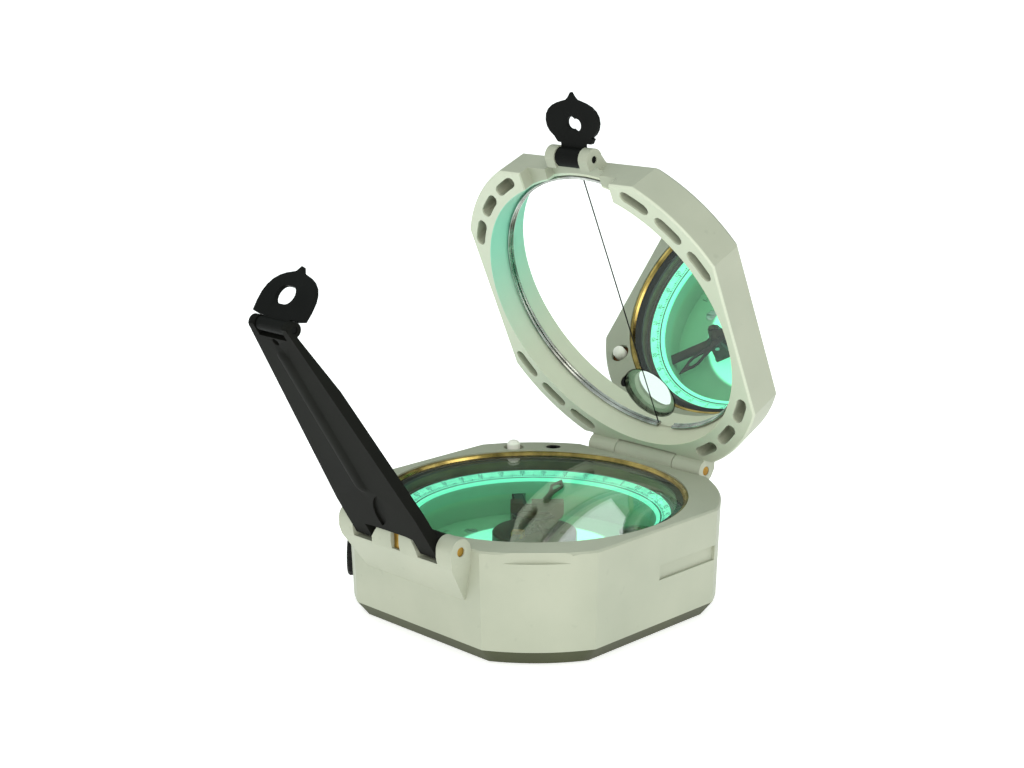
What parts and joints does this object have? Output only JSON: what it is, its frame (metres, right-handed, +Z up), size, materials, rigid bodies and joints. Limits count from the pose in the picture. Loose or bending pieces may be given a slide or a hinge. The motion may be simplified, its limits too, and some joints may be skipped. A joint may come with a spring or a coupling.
{
  "type": "geology compass",
  "caption": "Pocket transit compass with a hinged mirror lid, a folding sighting arm with small sights, a needle over a turning circle, and a clinometer.",
  "frame": {"origin": "centre of the flat underside of the base plate", "axes": "+Z up through the dial, +X from the sighting arm's hinge towards the lid's hinge, Y along both hinge axes"},
  "size_m": [0.1149, 0.071, 0.1089],
  "materials": {
    "case_enamel": "hard baked off-white enamel over cast aluminium",
    "base_olive": "dark olive enamel, satin",
    "pad_rubber": "matt black rubber",
    "seal_rubber": "matt black rubber",
    "screw_steel": "turned steel, slotted",
    "bezel_brass": "bright lacquered brass",
    "spacer_brass": "dull browned brass",
    "crystal": "clear polished glass",
    "dial_sage": "sage green enamel",
    "level_bronze": "dark bronzed brass",
    "level_glass": "yellow-green spirit under glass",
    "lever_bronze": "dark bronzed brass",
    "pin_white": "white enamel",
    "bush_brown": "dark brown bronze",
    "spring_steel": "bright spring wire",
    "black_steel": "black oxide, satin",
    "dial_mint": "pale mint luminous enamel with dark graduations",
    "knob_black": "black anodised, knurled edge",
    "shaft_steel": "ground steel",
    "roller_brass": "turned brass",
    "tyre_rubber": "matt black rubber",
    "lever_black": "black enamel",
    "vernier_bronze": "dark bronzed brass with pale graduations",
    "drum_bronze": "dark bronzed brass, satin",
    "needle_black": "brown-black needle steel",
    "magnet_steel": "plain magnet steel",
    "jewel_red": "polished red stone",
    "lid_enamel": "hard baked off-white enamel over cast aluminium",
    "mirror": "silvered glass",
    "ring_steel": "bright wire",
    "line_black": "black thread, lacquered",
    "pin_brass": "bright turned brass",
    "sight_black": "black enamel",
    "arm_black": "black wrinkle-free satin enamel"
  },
  "bodies": {
    "case": {"body_case": "case_enamel", "base_plate": "base_olive", "base_screws": "screw_steel", "base_pads": "pad_rubber", "bezel_ring": "bezel_brass", "crystal": "crystal", "crystal_gasket": "seal_rubber", "spacer_ring": "spacer_brass", "dial_plate": "dial_sage", "dial_screws": "screw_steel", "round_level_cup": "level_bronze", "round_level_glass": "level_glass", "lift_bracket": "lever_bronze", "lift_lever_pin": "shaft_steel", "lift_pin_bush": "bush_brown", "lock_screw": "black_steel", "knob_seal": "seal_rubber", "clinometer_seal": "seal_rubber", "lid_hinge_pin": "pin_brass", "arm_hinge_pin": "pin_brass", "arm_spring": "pin_brass"},
    "circle": {"graduated_ring": "dial_mint"},
    "knob": {"adjust_knob": "knob_black", "adjust_shaft": "shaft_steel", "drive_roller": "roller_brass", "roller_tyre": "tyre_rubber"},
    "clinometer": {"clinometer_shaft": "shaft_steel", "clinometer_lever": "lever_black", "clinometer_vernier": "vernier_bronze", "level_holder": "bezel_brass", "level_vial": "level_glass", "damping_drum": "drum_bronze", "needle_pivot": "shaft_steel"},
    "needle": {"needle_blade": "needle_black", "needle_hub": "drum_bronze", "needle_magnets": "magnet_steel", "needle_jewel": "jewel_red", "needle_weight": "roller_brass"},
    "lift_pin": {"lift_pin": "pin_white", "lift_spring": "spring_steel"},
    "lift_lever": {"lift_lever": "lever_bronze"},
    "lid": {"lid_frame": "lid_enamel", "lid_mirror": "mirror", "mirror_ring": "ring_steel", "sighting_line": "line_black", "lid_sight_pin": "sight_black"},
    "lid_sight": {"lid_sight": "sight_black"},
    "arm": {"sight_arm": "arm_black", "arm_sight_pin": "sight_black"},
    "arm_sight": {"arm_sight": "sight_black"}
  },
  "joints": [
    {"name": "lid_hinge", "type": "hinge", "parent": "case", "child": "lid", "pos_m": [0.03777, 0, 0.02425], "axis": [0, 1, 0], "range_deg": [-59, 113.85]},
    {"name": "arm_hinge", "type": "hinge", "parent": "case", "child": "arm", "pos_m": [-0.0378, 0, 0.0241], "axis": [0, 1, 0], "range_deg": [-58, 111]},
    {"name": "lid_sight_fold", "type": "hinge", "parent": "lid", "child": "lid_sight", "pos_m": [0.01174, 0, 0.09522], "axis": [0, 1, 0], "range_deg": [-198, 78]},
    {"name": "arm_sight_fold", "type": "hinge", "parent": "arm", "child": "arm_sight", "pos_m": [-0.068, 0, 0.07127], "axis": [0, 1, 0], "range_deg": [-67, 94]},
    {"name": "needle_spin", "type": "hinge", "parent": "case", "child": "needle", "pos_m": [0, 0, 0.0186], "axis": [0, 0, 1], "continuous": true},
    {"name": "clinometer_swing", "type": "hinge", "parent": "case", "child": "clinometer", "pos_m": [0, 0, 0.01], "axis": [0, 0, 1], "range_deg": [-127, 35]},
    {"name": "circle_spin", "type": "hinge", "parent": "case", "child": "circle", "pos_m": [0, 0, 0.017], "axis": [0, 0, 1], "continuous": true},
    {"name": "knob_spin", "type": "hinge", "parent": "case", "child": "knob", "pos_m": [-0.02729, 0.02729, 0.01], "axis": [-0.7071, 0.7071, 0], "continuous": true},
    {"name": "lift_pin_press", "type": "slide", "parent": "case", "child": "lift_pin", "axis": [0, 0, -1], "range_m": [0, 0.0016], "stiffness_N_per_m": 400, "springref_m": -0.0008, "deforming": ["lift_spring"]},
    {"name": "lift_lever_tilt", "type": "hinge", "parent": "case", "child": "lift_lever", "pos_m": [0.00857, 0.01107, 0.0144], "axis": [-0.7906, 0.6124, 0], "range_deg": [0, 4.4]}
  ],
  "couplings": [
    {"joint": "knob_spin", "follows": "circle_spin", "ratio": -6.3556},
    {"joint": "lift_lever_tilt", "follows": "lift_pin_press", "rad_per_m": 45.6}
  ]
}
